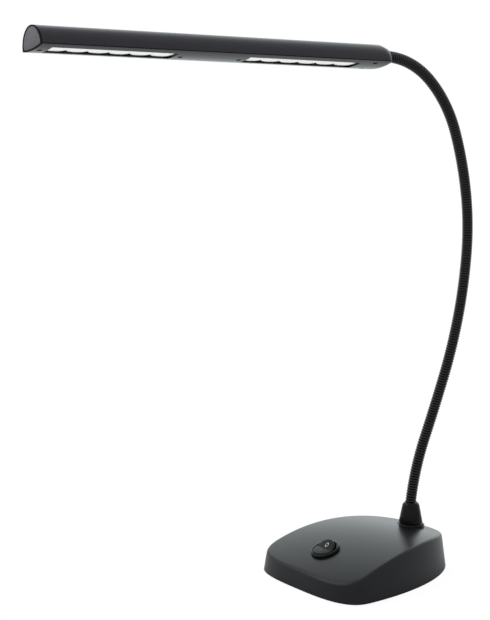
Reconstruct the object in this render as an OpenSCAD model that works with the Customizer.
// Piano lamp: a heavy domed base with a round rocker switch, a gooseneck and an LED light bar.
// Sizes in millimetres. +Z is up and the player sits on the -Y side.
// Origin: where the gooseneck's axis meets the surface that the lamp stands on.

/* [Base shell] */
// Greatest width of the base, at the table
base_w = 118.5; // [114:0.5:126]
// Distance from the collar's axis forward to the widest line
base_wide = 88; // [84:1:96]
// Distance from the collar's axis back to the rear edge
base_back = 26; // [25:0.5:30]
// Distance from the widest line forward to the front edge
base_front = 26; // [22:1:30]
// Squareness of the front corners, 2 is an ellipse
front_square = 3; // [2.4:0.1:4]
// Height of the dome's crest above the table
crest_h = 34.1; // [33:0.5:40]
// Distance from the collar's axis forward to the dome's crest
crest_y = 34.3; // [30:0.5:40]
// Radius of the dome seen from the side
dome_r_side = 165; // [150:5:180]
// Radius of the dome seen from the front
dome_r_front = 470; // [420:10:700]
// Lean of the side walls, in degrees
wall_draft = 8; // [6:0.5:9]
// Radius of the upper edge
edge_r = 2; // [1:0.25:3]
// Wall thickness of the shell
shell_wall = 2.4; // [2:0.1:3]
// Gap between the table and the shell's rim
rim_gap = 0.8; // [0.4:0.1:1.2]

/* [Base plate and ballast] */
// Thickness of the foam pad
pad_t = 1.6; // [1.4:0.1:2.5]
// Thickness of the steel plate
plate_t = 2; // [1.5:0.5:3]
// Gap between the plate and the shell
plate_gap = 0.3; // [0.2:0.1:0.6]
// Height of the cast ballast
ballast_h = 17; // [12:0.5:18]
// Distance from the collar's axis to the ballast's rear face
ballast_rear = 16; // [15:0.5:20]
// Distance from the collar's axis to the ballast's front face
ballast_front = 66; // [60:1:67]
// Distance between the ballast and the shell's wall
ballast_gap = 5; // [4:0.5:10]
// Diameter of the screw posts
post_d = 8; // [7:0.5:9]
// Shank diameter of the base screws
base_screw_d = 2.9; // [2.5:0.1:3.2]
// Length of the base screws under the head
base_screw_len = 9; // [8:0.5:10]
// Shank diameter of the ballast screws
ballast_screw_d = 4; // [3:0.5:5]
// Spacing of the two ballast screws
ballast_screw_gap = 50; // [40:2:56]

/* [Switch] */
// Distance from the collar's axis forward to the switch
switch_y = 86; // [84:0.5:87]
// Diameter of the bezel
bezel_d = 23; // [22:0.5:25]
// Height of the bezel above its seat
bezel_h = 2; // [1.5:0.1:2.4]
// Diameter of the switch body
switch_d = 19.8; // [19:0.1:20]
// Wall of the switch body
switch_wall = 0.7; // [0.6:0.05:0.8]
// Depth of the switch body below the seat
switch_depth = 13; // [12:0.5:14]
// Diameter of the rocker
rocker_d = 17.2; // [16.8:0.1:17.4]
// Angle between the two rest positions
rocker_swing = 18; // [14:1:20]
// Diameter of the rocker's axle
rocker_axle_d = 2; // [1.6:0.1:2.2]

/* [Power inlet] */
// Height of the inlet above the table
inlet_z = 11; // [10:0.5:12]
// Diameter of the inlet's barrel
inlet_d = 8; // [7:0.5:8]
// Diameter of the inlet's hole
inlet_bore = 5.5; // [5:0.1:6]
// Length of the inlet's barrel
inlet_len = 12; // [11:0.5:12.5]

/* [Gooseneck] */
// Outer diameter of the coil
coil_d = 8.2; // [7.6:0.1:9]
// Diameter of the core under the coil
core_d = 7; // [6.4:0.1:7.2]
// Height of the first bend above the table
neck_z = 51.5; // [50:0.5:60]
// Lean of the neck from the vertical where it leaves the collar
neck_lean = 8; // [0:1:20]
// Length of each link of the neck
link_len = 49.5; // [45:0.5:55]
// Bend of each link towards the front, from the collar up
link_bend = [-15, 2, 8, 8.5, 13.5, 11, 27, 39];
// Gap between a ball end and its socket
ball_gap = 0.15; // [0.1:0.05:0.25]
// Spacing of the coil's turns
coil_pitch = 2.04; // [2:0.05:2.6]

/* [Collar] */
// Diameter at the collar's foot
foot_d = 19; // [18:0.5:20]
// Height of the foot
foot_h = 3.2; // [2.5:0.1:5]
// Diameter of the collar above its foot
collar_low_d = 17; // [16:0.5:18]
// Diameter of the collar's shoulder
collar_top_d = 12.6; // [12:0.2:14]
// Diameter of the threaded ferrule
ferrule_d = 9.6; // [9:0.2:10]
// Bore of the ferrule for the lead
ferrule_bore = 5; // [4:0.5:6]
// Width across the flats of the ferrule's nut
nut_af = 14; // [13:0.5:15]
// Thickness of the ferrule's nut
nut_t = 4.5; // [3:0.5:5]
// Length of the ferrule inside the collar
ferrule_hold = 9; // [7:0.5:11]

/* [Light bar] */
// Width of the bar
bar_w = 24.4; // [24:0.2:28]
// Height of the shell's curved back above the seam
bar_h = 14.8; // [14:0.2:18]
// Length of the bar without the neck nose
bar_len = 296; // [290:1:320]
// Thickness of the underside cover at its middle
cover_t = 1.8; // [1.5:0.1:2]
// Thickness of the cover at its edges
cover_edge = 0.5; // [0.4:0.1:0.8]
// Distance from the neck's axis down to the seam
seam_drop = 6.6; // [6:0.1:7]
// Wall of the bar's shell
bar_wall = 1.4; // [1.2:0.1:1.6]
// Roll of the bar about its own length, in degrees
bar_roll = 16; // [0:1:25]
// Length of the nose that takes the neck
nose_len = 10; // [9:0.5:12]
// Thickness of the end cap
cap_t = 3; // [2:0.1:3.2]
// Length of each light window
window_len = 100; // [96:0.5:102]
// Width of each light window
window_w = 14; // [12:0.5:14]
// Distance from the bar's free end to the first window
window_edge = 11.5; // [11.5:0.5:16]
// Distance between the two windows
window_bridge = 61; // [56:0.5:64]
// Number of LEDs behind each window
led_count = 6; // [4:1:8]
// Diameter of each round lens
lens_d = 18; // [17.4:0.2:19]
// Distance from the cover's screws to the windows
screw_edge = 5.6; // [5:0.1:5.8]
// Distance of the two screws near the neck from the middle line
neck_screw_x = 8; // [7:0.1:8.2]
// Distance of the two screws near the neck from the nose
neck_screw_edge = 10; // [8:0.5:14]
// Thickness of the LED boards
board_t = 1; // [0.8:0.1:1.6]
// Height of the lens frame
frame_h = 2.8; // [2.6:0.1:3.4]
// Diameter of the ferrule on the neck's upper end
tip_ferrule_d = 6.5; // [6:0.1:6.8]

/* [Hidden] */
$fn = 48;
outline_steps = 64;
edge_steps = 3;
dome_rings = 3;
profile_steps = 30;
nose_steps = 6;
sweep_fn = 720;
eps = 0.01;
close_fit = 0.1;
sink_gap = 0.05;

shell_color = "#3a3d40";
wall_color = "#2d2b31";
black = "#1c1c1f";
bar_color = "#302f34";
cover_color = "#77776f";
cap_color = "#6f6e74";
steel = "#a9abad";
iron = "#55575a";
foam = "#26272a";
board_color = "#1d5a3a";
white = "#f4f4f2";
copper = "#b87333";
brass = "#c0a050";

// Base outline and dome
half_w = base_w / 2;
rear_len = base_wide + base_back;
mid_y = (base_back - base_wide - base_front) / 2;
lean = tan(wall_draft);
plate_z = pad_t;
deck_z = plate_z + plate_t;
function cavity_inset(z) = shell_wall + lean * z;
plate_inset = cavity_inset(deck_z) + plate_gap;

function outline_point(i, inset) =
    let (a = 360 * i / outline_steps, c = cos(a), s = sin(a), q = 2 / front_square)
    s >= 0
    ? [(half_w - inset) * c, (rear_len - inset) * s - base_wide]
    : [(half_w - inset) * sign(c) * pow(abs(c), q), -(base_front - inset) * pow(abs(s), q) - base_wide];
function outline(inset) = [for (i = [0 : outline_steps - 1]) outline_point(i, inset)];
function fall(r, d) = r - sqrt(r * r - d * d);
function dome(p, drop = 0) =
    crest_h - drop - fall(dome_r_side - drop, p.y + crest_y) - fall(dome_r_front - drop, p.x);
function half_width_at(y, inset) =
    (half_w - inset) * sqrt(1 - pow((y + base_wide) / (rear_len - inset), 2));

// Closed solid through rings of points, each ring counter-clockwise, with a point at each end
module loft(rings, first, last) {
    n = len(rings[0]);
    k = len(rings);
    points = concat([for (r = rings, p = r) p], [first, last]);
    sides = [for (j = [0 : k - 2], i = [0 : n - 1], t = [0, 1])
        let (a = j * n + i, b = j * n + (i + 1) % n)
        t == 0 ? [a, a + n, b + n] : [a, b + n, b]];
    ends = [for (i = [0 : n - 1], t = [0, 1])
        let (m = (i + 1) % n)
        t == 0 ? [k * n, i, m] : [k * n + 1, (k - 1) * n + m, (k - 1) * n + i]];
    polyhedron(points, concat(sides, ends));
}

// One ring of the shell's skin, the rounded edge turned by a degrees
function skin_ring(a) = [for (i = [0 : outline_steps - 1])
    let (h = dome(outline_point(i, 0)),
         p = outline_point(i, lean * h + edge_r * (1 - cos(a))))
    [p.x, p.y, dome(p) - edge_r * (1 - sin(a))]];
function inner_ring(f) = [for (p = skin_ring(90))
    let (q = [p.x * f, mid_y + (p.y - mid_y) * f]) [q.x, q.y, dome(q)]];

module skin() {
    foot = [for (p = outline(lean * rim_gap)) [p.x, p.y, rim_gap]];
    edge = [for (j = [0 : edge_steps]) skin_ring(90 * j / edge_steps)];
    top = [for (j = [1 : dome_rings]) inner_ring(1 - j / (dome_rings + 1))];
    loft(concat([foot], edge, top), [0, mid_y, rim_gap], [0, mid_y, dome([0, mid_y])]);
}

// Body of revolution under the dome, drop lower than its surface
module dome_body(drop) {
    swing = 10;
    translate([0, 0, crest_h - dome_r_front])
        rotate([-90, -90, 0])
        rotate([0, 0, -swing])
        rotate_extrude(angle = 2 * swing, $fn = sweep_fn)
        translate([dome_r_front - dome_r_side, -crest_y])
        circle(dome_r_side - drop, $fn = sweep_fn);
}

// Hollow inside the shell: leaning walls under the dome
module cavity() {
    low = -1;
    rings = [for (z = [low, crest_h]) [for (p = outline(cavity_inset(z))) [p.x, p.y, z]]];
    intersection() {
        loft(rings, [0, mid_y, low], [0, mid_y, crest_h]);
        dome_body(shell_wall);
    }
}

// Places in the base
switch_tilt = asin((switch_y - crest_y) / dome_r_side);
bezel_seat_r = bezel_d / 2 + 0.3;
bezel_sink = fall(dome_r_side, bezel_seat_r);
switch_hole_r = switch_d / 2 + 0.2;
post_edge = post_d / 2 + 1;
post_front_y = -base_wide - base_front / 4;
post_rear_y = base_back / 5;
post_front_x = half_w - cavity_inset(crest_h) - post_edge - 4;
post_rear_x = half_width_at(post_rear_y, cavity_inset(deck_z)) - post_edge;
posts = [[post_front_x, post_front_y], [-post_front_x, post_front_y],
         [post_rear_x, post_rear_y], [-post_rear_x, post_rear_y]];
seat_z = dome([0, 0]) + 0.6;
land_r = nut_af / 2 + 3;
land_z = dome([0, land_r], shell_wall) - 1;
washer_t = 1;
ferrule_low = land_z - washer_t - nut_t - 3;
ferrule_top = seat_z + ferrule_hold;
collar_top = neck_z - 1.2;
inlet_flange_r = inlet_d / 2 + 1.7;
inlet_boss_r = inlet_d / 2 + 3;
inlet_seat_y = base_back - lean * (inlet_z + inlet_flange_r) - 1;
inlet_land_y = base_back - cavity_inset(inlet_z + inlet_boss_r) - 1;
inlet_nut_t = 2;
inlet_flange_t = 1.1;
screw_head_h = 1.2;
screw_head_r = base_screw_d;
ballast_mid = -(ballast_front + ballast_rear) / 2;

module at_switch() {
    translate([0, -switch_y, dome([0, -switch_y])])
        rotate([switch_tilt, 0, 0])
        translate([0, 0, -bezel_sink])
        children();
}
module at_posts(z) {
    for (p = posts) translate([p.x, p.y, z]) children();
}
module at_ballast_screws(z) {
    for (s = [-1, 1]) translate([s * ballast_screw_gap / 2, ballast_mid, z]) children();
}

// Base pieces
module base_shell() {
    color(shell_color) difference() {
        union() {
            difference() {
                skin();
                difference() {
                    cavity();
                    at_posts(deck_z) cylinder(h = crest_h, d = post_d);
                    translate([0, inlet_land_y, inlet_z]) rotate([-90, 0, 0])
                        cylinder(h = base_back, r = inlet_boss_r);
                }
            }
            translate([0, 0, land_z]) cylinder(h = seat_z - land_z, r = land_r);
        }
        translate([0, 0, seat_z]) cylinder(h = crest_h, r = foot_d / 2 + 0.3);
        translate([0, 0, land_z - 1]) cylinder(h = crest_h, r = ferrule_d / 2 + 0.2);
        at_switch() {
            cylinder(h = bezel_h + 2, r = bezel_seat_r);
            translate([0, 0, -3 * shell_wall]) cylinder(h = 4 * shell_wall, r = switch_hole_r);
        }
        translate([0, inlet_seat_y, inlet_z]) rotate([-90, 0, 0])
            cylinder(h = base_back, r = inlet_flange_r + 0.3);
        translate([0, inlet_land_y - 1, inlet_z]) rotate([-90, 0, 0])
            cylinder(h = base_back, d = inlet_d + 0.2);
        at_posts(deck_z - 1) cylinder(h = base_screw_len - plate_t + 2, d = base_screw_d + 0.1);
    }
}

module base_plate() {
    color(steel) difference() {
        translate([0, 0, plate_z]) linear_extrude(plate_t) polygon(outline(plate_inset));
        at_posts(plate_z - 1) cylinder(h = plate_t + 2, d = base_screw_d + 0.5);
        at_ballast_screws(plate_z) {
            translate([0, 0, -eps]) cylinder(h = plate_t + 1, d = ballast_screw_d + 0.4);
            translate([0, 0, -eps]) cylinder(h = ballast_screw_d / 2,
                r1 = ballast_screw_d + sink_gap, r2 = ballast_screw_d / 2 + sink_gap);
        }
    }
}

module base_pad() {
    color(foam) difference() {
        linear_extrude(pad_t) polygon(outline(plate_inset + 0.4));
        at_posts(-1) cylinder(h = pad_t + 2, r = screw_head_r + 0.6);
    }
}

module base_screws() {
    color(steel) at_posts(plate_z) {
        translate([0, 0, -screw_head_h]) cylinder(h = screw_head_h, r = screw_head_r);
        cylinder(h = base_screw_len, d = base_screw_d);
    }
}

module ballast() {
    color(iron) difference() {
        intersection() {
            translate([0, 0, deck_z]) linear_extrude(ballast_h)
                polygon(outline(cavity_inset(deck_z) + ballast_gap));
            translate([-base_w, -ballast_front, 0])
                cube([2 * base_w, ballast_front - ballast_rear, 2 * crest_h]);
        }
        at_ballast_screws(deck_z - 1) cylinder(h = ballast_h * 0.6 + 1, d = ballast_screw_d + close_fit);
    }
}

module ballast_screws() {
    color(steel) at_ballast_screws(plate_z) {
        cylinder(h = ballast_screw_d / 2, r1 = ballast_screw_d, r2 = ballast_screw_d / 2);
        cylinder(h = plate_t + ballast_h * 0.5, d = ballast_screw_d);
    }
}

// Switch, drawn on its own seat with Z out of the shell
pivot_z = -1.6;
rocker_r = rocker_d / 2;
well_r = switch_d / 2 - switch_wall;
rocker_end = 4.6;
rocker_dip = 3.2;
blade = [0.8, 4.8, 7];
blade_gap = 7;

module switch_bezel() {
    color(black) at_switch() difference() {
        union() {
            rotate_extrude() polygon([[0, 0], [bezel_d / 2, 0], [bezel_d / 2, bezel_h * 0.4],
                [bezel_d / 2 - bezel_h * 0.25, bezel_h * 0.85],
                [bezel_d / 2 - bezel_h * 0.6, bezel_h], [0, bezel_h]]);
            translate([0, 0, -switch_depth]) cylinder(h = switch_depth, d = switch_d);
        }
        translate([0, 0, -switch_depth + 4]) cylinder(h = switch_depth + bezel_h, r = well_r);
        translate([-switch_d, 0, pivot_z]) rotate([0, 90, 0])
            cylinder(h = 2 * switch_d, d = rocker_axle_d + close_fit);
    }
}

module rocker_shape() {
    e = rocker_r + 1;
    intersection() {
        rotate([90, 0, 90]) translate([0, 0, -e]) linear_extrude(2 * e)
            polygon([[-e, rocker_end], [-rocker_r, rocker_end], [0, rocker_dip],
                [rocker_r, rocker_end], [e, rocker_end],
                [e, -1], [rocker_r * 0.4, -3.4], [-rocker_r * 0.4, -3.4], [-e, -1]]);
        rotate_extrude() polygon([[0, -4], [rocker_r, -4], [rocker_r, rocker_end - 1.4],
            [rocker_r - 0.5, rocker_end], [0, rocker_end + 1]]);
    }
}

module switch_rocker() {
    color(black) at_switch() translate([0, 0, pivot_z]) rotate([rocker_swing / 2, 0, 0]) union() {
        rocker_shape();
        translate([-well_r - switch_wall / 2, 0, 0]) rotate([0, 90, 0])
            cylinder(h = 2 * well_r + switch_wall, d = rocker_axle_d);
    }
}

module switch_terminals() {
    color(brass) at_switch() for (s = [-1, 1])
        translate([s * blade_gap / 2 - blade.x / 2, -blade.y / 2, -switch_depth - blade.z]) cube(blade);
}

// Power inlet in the rear wall
module dc_inlet() {
    color(black) translate([0, 0, inlet_z]) rotate([-90, 0, 0]) difference() {
        union() {
            translate([0, 0, inlet_seat_y]) cylinder(h = inlet_flange_t, r = inlet_flange_r);
            translate([0, 0, inlet_seat_y - inlet_len]) cylinder(h = inlet_len, d = inlet_d);
        }
        difference() {
            translate([0, 0, inlet_seat_y - 8]) cylinder(h = 12, d = inlet_bore);
            translate([0, 0, inlet_seat_y - 9]) cylinder(h = 8, d = 2);
        }
    }
}

module inlet_nut() {
    color(steel) translate([0, inlet_land_y - inlet_nut_t, inlet_z]) rotate([-90, 0, 0]) difference() {
        cylinder(h = inlet_nut_t, d = (inlet_d + 3) / cos(30), $fn = 6);
        translate([0, 0, -1]) cylinder(h = inlet_nut_t + 2, d = inlet_d + 0.1);
    }
}

// Driver electronics on the ballast
sheet_t = 1;
driver_t = 1.6;
driver_size = [34, 28];
driver_z = deck_z + ballast_h + sheet_t;
driver_top = driver_z + driver_t;
plug_size = [9, 5, 4.5];
plug_y = driver_size.y / 2 - plug_size.y / 2;

module driver_sheet() {
    color(foam) translate([-driver_size.x / 2 - 1, ballast_mid - driver_size.y / 2 - 1, deck_z + ballast_h])
        cube([driver_size.x + 2, driver_size.y + 2, sheet_t]);
}

module driver_board() {
    color(board_color) translate([-driver_size.x / 2, ballast_mid - driver_size.y / 2, driver_z])
        cube([driver_size.x, driver_size.y, driver_t]);
}

coil_size = [8, 3.6];
coil_place = [-11, 0];
can_size = [5, 5];
can_places = [[9, 5], [9, -5]];
chip_size = [5, 4, 1.5];

module driver_parts() {
    color(black) translate([0, ballast_mid, driver_top]) {
        for (s = [-1, 1]) translate([-plug_size.x / 2, s * plug_y - plug_size.y / 2, 0]) cube(plug_size);
        translate(coil_place) cylinder(h = coil_size.y, d = coil_size.x);
        for (p = can_places) translate(p) cylinder(h = can_size.y, d = can_size.x);
        translate([-chip_size.x / 2, -chip_size.y / 2, 0]) cube(chip_size);
    }
}

// A wire along straight stretches, a bead of heat-shrink at each corner
wire_d = 1.6;
bead_r = 0.65 * wire_d;
wire_sag = 0.5;
module wire(path) {
    for (i = [0 : len(path) - 2]) {
        d = path[i + 1] - path[i];
        translate(path[i]) rotate([0, acos(d.z / norm(d)), atan2(d.y, d.x)])
            cylinder(h = norm(d), d = wire_d);
    }
    if (len(path) > 2) for (i = [1 : len(path) - 2]) translate(path[i]) sphere(bead_r);
}

plug_z = driver_top + plug_size.z / 2;
rear_plug_y = ballast_mid + driver_size.y / 2;
front_plug_y = ballast_mid - driver_size.y / 2;
rear_gap_y = -ballast_rear + 2;
front_gap_y = -ballast_front - 1.8;
tail_y = inlet_seat_y - inlet_len;
// Point below a switch blade, s past its tip, in the lamp's own frame
function past_blade(s) = let (d = switch_depth + blade.z + bezel_sink + s)
    [-switch_y + sin(switch_tilt) * d, dome([0, -switch_y]) - cos(switch_tilt) * d];

module base_wiring() {
    color("#8a2020") {
        for (s = [-1, 1]) wire([
            [s * blade_gap / 2, past_blade(0).x, past_blade(0).y],
            [s * blade_gap / 2, past_blade(1.2).x, past_blade(1.2).y],
            [s * blade_gap / 2, front_gap_y - 2, past_blade(1.2).y],
            [s * 3, front_gap_y, past_blade(1.2).y + 3],
            [s * 3, front_gap_y, plug_z - 2],
            [s * 3, front_gap_y + 3, plug_z],
            [s * 3, front_plug_y, plug_z]]);
        wire([[0, 0, ferrule_top - 3], [0, 0, ferrule_low - 1], [-3, rear_gap_y + 4, ferrule_low - 3],
            [-3, rear_gap_y, ferrule_low], [-3, rear_gap_y, plug_z - 2],
            [-3, rear_gap_y - 3, plug_z], [-3, rear_plug_y, plug_z]]);
        wire([[0, tail_y, inlet_z], [0, tail_y - 2, inlet_z - wire_sag], [5, rear_gap_y + 4, inlet_z - 1],
            [5, rear_gap_y, inlet_z + 3], [3, rear_gap_y, plug_z - 2],
            [3, rear_gap_y - 3, plug_z], [3, rear_plug_y, plug_z]]);
    }
}

// Collar and ferrule
module neck_collar() {
    color(black) rotate_extrude() polygon([
        [ferrule_d / 2 + 0.1, seat_z], [foot_d / 2, seat_z], [foot_d / 2, seat_z + 0.8],
        [foot_d / 2 - 0.8, seat_z + foot_h], [collar_low_d / 2 - 0.6, seat_z + foot_h],
        [collar_low_d / 2 - 0.6, seat_z + foot_h + 0.4], [collar_low_d / 2, seat_z + foot_h + 0.8],
        [collar_top_d / 2, collar_top - 1.8], [collar_top_d / 2 - 0.5, collar_top - 0.7],
        [coil_d / 2 + 0.7, collar_top], [coil_d / 2 + 0.1, collar_top],
        [coil_d / 2 + 0.1, ferrule_top], [ferrule_d / 2 + 0.1, ferrule_top]]);
}

module neck_ferrule() {
    color(brass) translate([0, 0, ferrule_low]) difference() {
        cylinder(h = ferrule_top - ferrule_low, d = ferrule_d);
        translate([0, 0, -1]) cylinder(h = ferrule_top - ferrule_low - 2, d = ferrule_bore);
    }
}

module neck_washer() {
    color(steel) translate([0, 0, land_z - washer_t]) difference() {
        cylinder(h = washer_t, r = land_r - 1);
        translate([0, 0, -1]) cylinder(h = washer_t + 2, d = ferrule_d + 0.4);
    }
}

module neck_nut() {
    color(steel) translate([0, 0, land_z - washer_t - nut_t]) difference() {
        cylinder(h = nut_t, d = nut_af / cos(30), $fn = 6);
        translate([0, 0, -1]) cylinder(h = nut_t + 2, d = ferrule_d + 0.1);
    }
}

// Gooseneck: each link is an arc with a ball at its upper end and a socket at its lower end
core_r = core_d / 2;
coil_r = coil_d / 2;
ball_r = core_r - 0.5;
links = len(link_bend);
joint_gap = 0.7;
root_gap = 1.5;
turn_w = 1.7;
first_turn = 1.5;
turns = floor((link_len - 2 * first_turn) / coil_pitch);
turn_step = (link_len - 2 * first_turn) / turns;

function arc_r(k) = link_len / (link_bend[k] * PI / 180);
function heading(k) = k == 0 ? -neck_lean : heading(k - 1) + link_bend[k - 1];
function step(k) = let (b = link_bend[k], r = arc_r(k), h = heading(k))
    [0, -r * (1 - cos(b)) * cos(h) - r * sin(b) * sin(h), r * sin(b) * cos(h) - r * (1 - cos(b)) * sin(h)];
function bend_at(k) = k == 0 ? [0, 0, neck_z] : bend_at(k - 1) + step(k - 1);

module at_link(k) {
    translate(bend_at(k)) rotate([heading(k), 0, 0]) children();
}
// Place along a link, s from its lower bend
module along_link(k, s) {
    r = arc_r(k);
    translate([0, -r, 0]) rotate([s / link_len * link_bend[k], 0, 0]) translate([0, r, 0]) children();
}
// Round rod along a link's arc, cut back at its lower and upper ends
module arc_rod(k, r, low = 0, high = 0) {
    turned = link_bend[k] < 0 ? 1 : 0;
    per_length = abs(link_bend[k]) / link_len;
    mirror([0, turned, 0]) translate([0, -abs(arc_r(k)), 0]) rotate([90, 0, 90])
        rotate([0, 0, per_length * low])
        rotate_extrude(angle = per_length * (link_len - low - high), $fn = sweep_fn)
        translate([abs(arc_r(k)), 0]) circle(r);
}

module neck_root() {
    color(black) union() {
        translate([0, 0, ferrule_top]) cylinder(h = collar_top - 0.5 - ferrule_top, r = coil_r);
        translate([0, 0, collar_top - 1]) cylinder(h = neck_z - root_gap - collar_top + 1, r = core_r);
        translate([0, 0, neck_z]) sphere(ball_r);
    }
}

module neck_core(k) {
    color(black) at_link(k) difference() {
        union() {
            arc_rod(k, core_r, joint_gap, k < links - 1 ? joint_gap : 0);
            if (k < links - 1) along_link(k, link_len) sphere(ball_r);
        }
        sphere(ball_r + ball_gap);
    }
}

module neck_coil(k) {
    color("#34343a") at_link(k) for (i = [0 : turns])
        along_link(k, first_turn + i * turn_step) rotate_extrude() polygon([
            [core_r + 0.02, -turn_w / 2], [coil_r - 0.15, -turn_w * 0.3], [coil_r, -turn_w * 0.12],
            [coil_r, turn_w * 0.12], [coil_r - 0.15, turn_w * 0.3], [core_r + 0.02, turn_w / 2]]);
}

// Light bar, drawn with the neck's end at the origin, the bar along -Y and its light downwards
neck_in = 2;
bar_start = nose_len - neck_in;
bar_end = bar_start + bar_len;
tip_w = coil_r + 2.4;
tip_h = seam_drop + coil_r + 0.7;
cap_gap = 0.15;
cap_recess = 0.3;

module at_bar() {
    translate(bend_at(links)) rotate([heading(links) - 90, 0, 0]) rotate([0, -bar_roll, 0]) children();
}
// Upper half of the bar's section: half width w, height h above the seam
function back_arc(w, h, low = 0) = concat(low > 0 ? [[-w, -seam_drop - low], [w, -seam_drop - low]] : [],
    [for (i = [0 : profile_steps]) let (a = 180 * i / profile_steps) [w * cos(a), h * sin(a) - seam_drop]]);
// Underside: chord at the seam, edge e thick, depth t at the middle
function belly_arc(w, t, e) = [for (i = [0 : profile_steps])
    let (u = 2 * i / profile_steps - 1) [w * u, -seam_drop - e - (t - e) * (1 - u * u)]];
function full_ring(y, w, h, t, e) =
    [for (p = concat(back_arc(w, h), belly_arc(w, t, e))) [p.x, y, p.y]];

// The nose narrows on an elliptic curve while its back slopes straight down to the neck
function rounding(t) = pow(1 - pow(t, 2.2), 1 / 2.2);
module nose_body() {
    w0 = bar_w / 2;
    rings = [for (j = [nose_steps : -1 : 0])
        let (t = j / nose_steps, f = rounding(t))
        full_ring(-bar_start + nose_len * t, tip_w + (w0 - tip_w) * f, bar_h + (tip_h - bar_h) * t,
            cover_edge + (cover_t - cover_edge) * f, cover_edge)];
    loft(rings, [0, neck_in, 0], [0, -bar_start, 0]);
}
module half_space(side) {
    far = 50;
    translate([-far, -far, -seam_drop - (side > 0 ? 0 : far)]) cube([2 * far, 2 * far, far]);
}
module neck_bore() {
    inverse_tilt = 90 - heading(links);
    rotate([0, bar_roll, 0]) rotate([inverse_tilt, 0, 0]) translate(-bend_at(links))
        at_link(links - 1) arc_rod(links - 1, coil_r + 0.15);
}
module bar_extrude(points, from, to) {
    translate([0, -from, 0]) rotate([90, 0, 0]) linear_extrude(to - from) polygon(points);
}

// Windows and screws, by distance from the bar's free end
window_starts = [window_edge, window_edge + window_len + window_bridge];
function along(s) = s - bar_end;
middle_screws = [window_starts[0] - screw_edge, window_starts[0] + window_len + screw_edge,
    window_starts[1] - screw_edge];
screw_places = concat([for (s = middle_screws) [0, along(s)]],
    [for (m = [-1, 1]) [m * neck_screw_x, -bar_start - neck_screw_edge]]);
boss_d = 4.4;
cover_screw_d = 2;
cover_head = [3.4, 0.5];
cover_web = 0.6;
module at_cover_screws() {
    for (p = screw_places) translate([p.x, p.y, -seam_drop]) children();
}

module bar_shell() {
    w = bar_w / 2;
    color(bar_color) difference() {
        union() {
            difference() {
                bar_extrude(back_arc(w, bar_h), bar_start, bar_end);
                bar_extrude(back_arc(w - bar_wall, bar_h - bar_wall, 1), bar_start - 1, bar_end + 1);
            }
            intersection() {
                nose_body();
                half_space(1);
            }
            intersection() {
                at_cover_screws() cylinder(h = bar_h, d = boss_d);
                bar_extrude(back_arc(w - bar_wall / 2, bar_h - bar_wall / 2), bar_start, bar_end);
            }
        }
        neck_bore();
        rotate([90, 0, 0]) cylinder(h = bar_start + 1, d = tip_ferrule_d + 0.2);
        at_cover_screws() translate([0, 0, -1]) cylinder(h = 5, d = cover_screw_d + close_fit);
    }
}

module end_cap() {
    inset = bar_wall + cap_gap;
    color(cap_color) translate([0, 0, cap_gap])
        bar_extrude(back_arc(bar_w / 2 - inset, bar_h - inset - cap_gap),
            bar_end - cap_t - cap_recess, bar_end - cap_recess);
}

module light_cover() {
    w = bar_w / 2;
    color(cover_color) difference() {
        union() {
            bar_extrude(concat([[-w, -seam_drop]], belly_arc(w, cover_t, cover_edge), [[w, -seam_drop]]),
                bar_start, bar_end);
            intersection() {
                nose_body();
                half_space(-1);
            }
        }
        for (s = window_starts)
            translate([-window_w / 2, along(s), -seam_drop - 5]) cube([window_w, window_len, 10]);
        at_cover_screws() {
            translate([0, 0, -5]) cylinder(h = 6, d = cover_screw_d + 0.3);
            translate([0, 0, -cover_t - 1 - cover_web]) cylinder(h = cover_t + 1, d = cover_head.x + 0.4);
        }
    }
}

module cover_screws() {
    color(black) at_cover_screws() {
        translate([0, 0, -cover_web]) cylinder(h = 4, d = cover_screw_d);
        translate([0, 0, -cover_web - cover_head.y]) cylinder(h = cover_head.y, d = cover_head.x);
    }
}

// Light engine behind one window
mask_t = 0.6;
lens_flange = 0.8;
lens_lap = 0.9;
lens_band = window_w - 1.2;
frame_w = window_w + 4.6;
led_pitch = window_len / led_count;
led_size = [3.5, 3.5, 0.8];
function led_s(s, i) = s + (i + 0.5) * led_pitch;

module lens_row(s, grow, t) {
    intersection() {
        for (i = [0 : led_count - 1])
            translate([0, along(led_s(s, i)), 0]) cylinder(h = t, d = lens_d + grow);
        translate([-lens_band / 2 - grow / 2, along(s) + 0.8 - grow / 2, -1])
            cube([lens_band + grow, window_len - 1.6 + grow, t + 2]);
    }
}

module lens_frame(s) {
    color(black) translate([0, 0, -seam_drop]) difference() {
        translate([-frame_w / 2, along(s) - 2, 0]) cube([frame_w, window_len + 4, frame_h]);
        translate([-window_w / 2 - 1, along(s) - 1, mask_t]) cube([window_w + 2, window_len + 2, frame_h]);
        translate([0, 0, -1]) lens_row(s, 0.2, mask_t + 2);
    }
}

module lens_strip(s) {
    color(white) translate([0, 0, -seam_drop]) union() {
        translate([-window_w / 2 - lens_lap, along(s) - lens_lap, mask_t])
            cube([window_w + 2 * lens_lap, window_len + 2 * lens_lap, lens_flange]);
        translate([0, 0, 0.1]) lens_row(s, 0, mask_t);
    }
}

module led_board(s) {
    color(white) translate([-frame_w / 2 + 0.1, along(s) - 1.9, -seam_drop + frame_h])
        cube([frame_w - 0.2, window_len + 3.8, board_t]);
}

module leds() {
    color("#f2d75a") for (s = window_starts, i = [0 : led_count - 1])
        translate([-led_size.x / 2, along(led_s(s, i)) - led_size.y / 2, -seam_drop + frame_h - led_size.z])
            cube(led_size);
}

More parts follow.
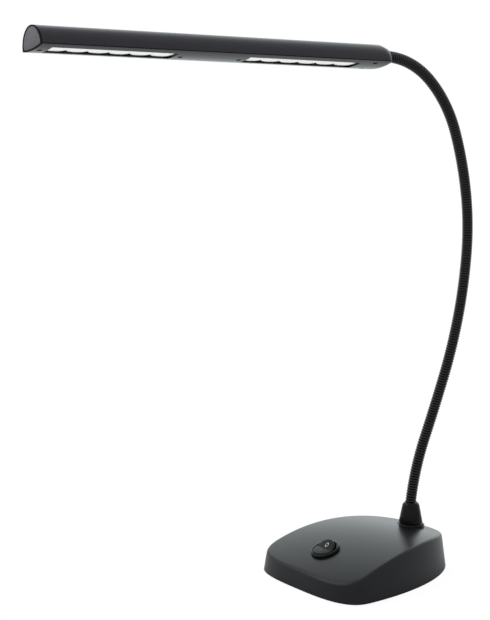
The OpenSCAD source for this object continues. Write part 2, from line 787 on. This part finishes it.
// Ferrule and nut that hold the neck in the nose
tip_nut_t = 3;
tip_ferrule_end = bar_start + tip_nut_t + 1;
module tip_ferrule() {
    color(brass) rotate([90, 0, 0]) difference() {
        cylinder(h = tip_ferrule_end, d = tip_ferrule_d);
        translate([0, 0, 2]) cylinder(h = tip_ferrule_end, d = tip_ferrule_d - 3);
    }
}
module tip_nut() {
    color(steel) translate([0, -bar_start, 0]) rotate([90, 0, 0]) difference() {
        cylinder(h = tip_nut_t, d = 9 / cos(30), $fn = 6);
        translate([0, 0, -1]) cylinder(h = tip_nut_t + 2, d = tip_ferrule_d + close_fit);
    }
}

module bar_wiring() {
    pad = [3, 3, wire_d * 0.6];
    pad_edge = 6;
    side = boss_d / 2 + wire_d;
    board_z = -seam_drop + frame_h + board_t;
    lead_z = board_z + wire_d / 2;
    rear_pad = along(window_starts[1] + window_len) - pad_edge;
    link_pad = along(window_starts[1]) + pad_edge;
    front_pad = along(window_starts[0] + window_len) - pad_edge;
    color("#8a2020") {
        for (y = [rear_pad, link_pad, front_pad])
            translate([side - pad.x / 2, y - pad.y / 2, board_z]) cube(pad);
        wire([[0, -2, 0], [0, -tip_ferrule_end, 0],
            [side, -tip_ferrule_end - side, wire_sag], [side, rear_pad, lead_z]]);
        wire([[side, link_pad, lead_z], [side, front_pad, lead_z]]);
    }
}

base_shell();
base_plate();
base_pad();
base_screws();
ballast();
ballast_screws();
switch_bezel();
switch_rocker();
switch_terminals();
dc_inlet();
inlet_nut();
driver_sheet();
driver_board();
driver_parts();
base_wiring();
neck_collar();
neck_ferrule();
neck_washer();
neck_nut();
neck_root();
for (k = [0 : links - 1]) {
    neck_core(k);
    neck_coil(k);
}
at_bar() bar_shell();
at_bar() end_cap();
at_bar() light_cover();
at_bar() cover_screws();
at_bar() lens_frame(window_starts[0]);  // lens_frame_front
at_bar() lens_frame(window_starts[1]);  // lens_frame_rear
at_bar() lens_strip(window_starts[0]);  // lens_strip_front
at_bar() lens_strip(window_starts[1]);  // lens_strip_rear
at_bar() led_board(window_starts[0]);  // led_board_front
at_bar() led_board(window_starts[1]);  // led_board_rear
at_bar() leds();
at_bar() tip_ferrule();
at_bar() tip_nut();
at_bar() bar_wiring();
